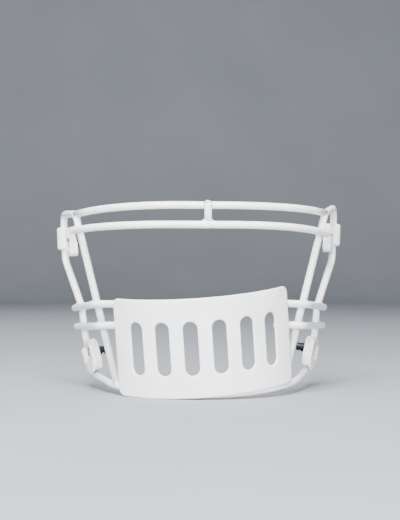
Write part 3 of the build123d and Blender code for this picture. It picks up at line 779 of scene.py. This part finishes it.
def foot_pad(low, high):
    """The weld's face over the post's foot: the bar's front and the post's front as depths over (x, z),
    joined by a smooth maximum max(a, b) + (k - |a - b|)**2 / 4k, on rings of an ellipse whose rim sinks into
    the coat. A cone to the foot closes it inside the wires."""
    k = PAD_BLEND
    r = np.linspace(0, 1, PAD_RINGS + 1)[1:, None]
    turn = np.linspace(0, 2 * np.pi, PAD_POINTS, endpoint=False)
    x = np.r_[0, (PAD_HALF_WIDTH * r * np.cos(turn)).ravel()]
    z = np.r_[0, (PAD_HALF_HEIGHT * r * np.sin(turn)).ravel()]
    post_axis = low[1] + z * (high[1] - low[1]) / (high[2] - low[2])
    bar = np.sqrt(WIRE_R ** 2 - z ** 2) - low[1]
    post = np.sqrt(np.maximum(WIRE_R ** 2 - x ** 2, 0)) - post_axis
    blend = np.maximum(k - np.abs(bar - post), 0) ** 2 / (4 * k)
    rim = np.r_[0, np.repeat(r ** 4, len(turn))]
    front = np.maximum(bar, post) + blend - PAD_SINK * rim
    points = np.stack([low[0] + x, -front, low[2] + z], -1)
    back = len(points)
    points = np.concatenate([points, [low]])
    faces = ring_faces(len(r), len(turn), 1) + fan_faces(0, 1, len(turn), False)
    return points, faces + fan_faces(back, back - len(turn), len(turn), True)


def post_welds():
    """The post's foot on the lower brow bar, and its lap over the upper one."""
    low, high = post_ends()
    lower = bent_wire(lower_bar_corners(), (LOWER_BEND,) * 2)
    bar_high = np.array([POST_OUT, UPPER_FRONT, sum(UPPER_HEIGHT.values()) / 2])
    across = np.array([1.0, 0, 0])
    return [foot_weld(near(lower, low), low, high - low, POST_WELD), foot_pad(low, high),
            crossing_weld(bar_high, across, bar_high + [0, -LAP, 0], high - low, CROSS_WELD)]


def side_welds(side):
    """The inner rail's foot, the upper brow bar's end, and every crossing of a bar over a rail."""
    upper = bent_wire(upper_bar_corners(), (UPPER_BEND,) * 2)
    if side == "right":
        upper = upper[::-1]
    perimeter, chin = half_perimeter(side), perimeter_front()
    bend = perimeter[len(perimeter) * 3 // 4:]
    bar = np.concatenate([bend, chin] if side == "left" else [chin, bend[::-1]])
    foot, top = on_side(side, rail_foot(side)), on_side(side, loop_front(side))
    on_bar, bar_run = (on_side(side, v) for v in brow_crossing(side))
    skins = [foot_weld(near(bar, foot), foot, top - foot, FOOT_WELD),
             foot_weld(near(perimeter, top), upper[0], upper[1] - upper[0], FOOT_WELD),
             crossing_weld(on_side(side, rail_weld(side)), top - foot, on_bar, bar_run, CROSS_WELD)]
    for heights in CHEEKS.values():
        crossings = cheek_crossings(side, *heights)
        run = on_side(side, crossings[0][0] - crossings[1][0])
        for crossing in crossings:
            over, rail, rail_run = (on_side(side, v) for v in crossing)
            skins.append(crossing_weld(rail, rail_run, over, run, CROSS_WELD))
    return skins


def make_welds():
    """All wire welds, as one piece, with their faces turned outward."""
    skins = post_welds() + side_welds("left") + side_welds("right")
    starts = np.cumsum([0] + [len(points) for points, _ in skins])
    faces = [[i + int(first) for i in face[::-1]]
             for (_, polygons), first in zip(skins, starts) for face in polygons]
    points = np.concatenate([points for points, _ in skins])
    add_piece("wire_welds", points, faces, "cage", COAT, "coated_wire")


make_welds()


# Springs behind the push pins

def make_pin_springs():
    """A round-wire coil: at angle a its centre is the coil's radius out, turned by a round the coupler's
    axis, and up by the same share of the length. The axis runs through the middle between both lock balls."""
    spring_steel = drawn_spring_wire()
    a = np.linspace(0, 2 * np.pi * SPRING_TURNS, 24 * SPRING_TURNS + 1)
    b = np.linspace(0, 2 * np.pi, 12, endpoint=False)
    for joint in frame["joints"]:
        if not joint["name"].endswith("_pin_press"):
            continue
        name = joint["name"].removesuffix("_pin_press")
        level = name.split("_")[1]
        balls = np.array([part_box(f"{name}_{place}_lock_ball") for place in ("top", "bottom")])
        out = -unit(np.array(joint["axis"]))
        floor = balls.mean((0, 1)) * 1000 - GROUND + out * (SPRING_LOW - BALL_DOWN[level])
        e1 = unit(np.cross(out, [0, 0, 1]))
        radial = np.cos(a)[:, None] * e1 + np.sin(a)[:, None] * np.cross(out, e1)
        centre = floor + SPRING_COIL_R * radial + (a / a[-1] * (SPRING_HIGH - SPRING_LOW))[:, None] * out
        around = np.cos(b)[:, None] * radial[:, None] - np.sin(b)[:, None] * out
        points, faces = capped_rings(centre[:, None] + SPRING_WIRE_R * around)
        coil = add_piece(f"{name}_coil", points, faces, f"{name}_clip_body", spring_steel, "spring_steel",
                         f"{name}_pin_spring")
        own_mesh(coil)


make_pin_springs()


# Floor, backdrop and light

def add_floor():
    """A pale sweep: flat under the mask, then a wide quarter circle up into the backdrop."""
    q = np.linspace(0, np.pi / 2, 24)
    y = np.r_[SWEEP_NEAR, SWEEP_FLAT + SWEEP_BEND * np.sin(q), SWEEP_FLAT + SWEEP_BEND]
    z = np.r_[0, SWEEP_BEND * (1 - np.cos(q)), SWEEP_TOP]
    x = np.array([-SWEEP_HALF_WIDTH, SWEEP_HALF_WIDTH])
    points = np.stack([np.repeat(x[None], len(y), 0), np.repeat(y[:, None], 2, 1),
                       np.repeat(z[:, None], 2, 1)], -1)
    k = np.arange(len(y) - 1)
    faces = np.stack([2 * k, 2 * k + 1, 2 * k + 3, 2 * k + 2], -1).tolist()
    material, tree, bsdf, coords = start("painted_floor", {"Roughness": 0.85})
    mottle(tree, bsdf, coords, "#8A8E94", "#858990", 300.0)
    smooth_object("floor", points.reshape(-1, 3), faces, material)


def add_light(name, place, target, size, power):
    """A square soft box that faces a point."""
    data = bpy.data.lights.new(name, "AREA")
    data.shape = "SQUARE"
    data.size = size
    data.energy = power
    lamp = bpy.data.objects.new(name, data)
    bpy.context.scene.collection.objects.link(lamp)
    lamp.location = Vector(place)
    lamp.rotation_euler = (Vector(target) - Vector(place)).to_track_quat("-Z", "Y").to_euler()


def add_lights():
    """A high soft key ahead, a front light near the camera, a weak fill on the right and a weak light from
    behind, in a dim even world."""
    middle = (0, 0, 0.1)
    add_light("key", (-0.2, -0.8, 1.5), middle, 0.7, 98)
    add_light("fill", (1.2, -0.9, 0.5), middle, 0.8, 16)
    add_light("front", (-0.4, -1.6, 0.45), middle, 0.5, 66)
    add_light("back", (-0.4, 1.2, 1.3), middle, 0.9, 14)
    world = bpy.data.worlds.new("studio")
    bpy.context.scene.world = world
    world.use_nodes = True
    sky = world.node_tree.nodes["Background"].inputs
    sky["Color"].default_value = linear("#DDE1E6")
    sky["Strength"].default_value = 0.3


add_floor()
add_lights()
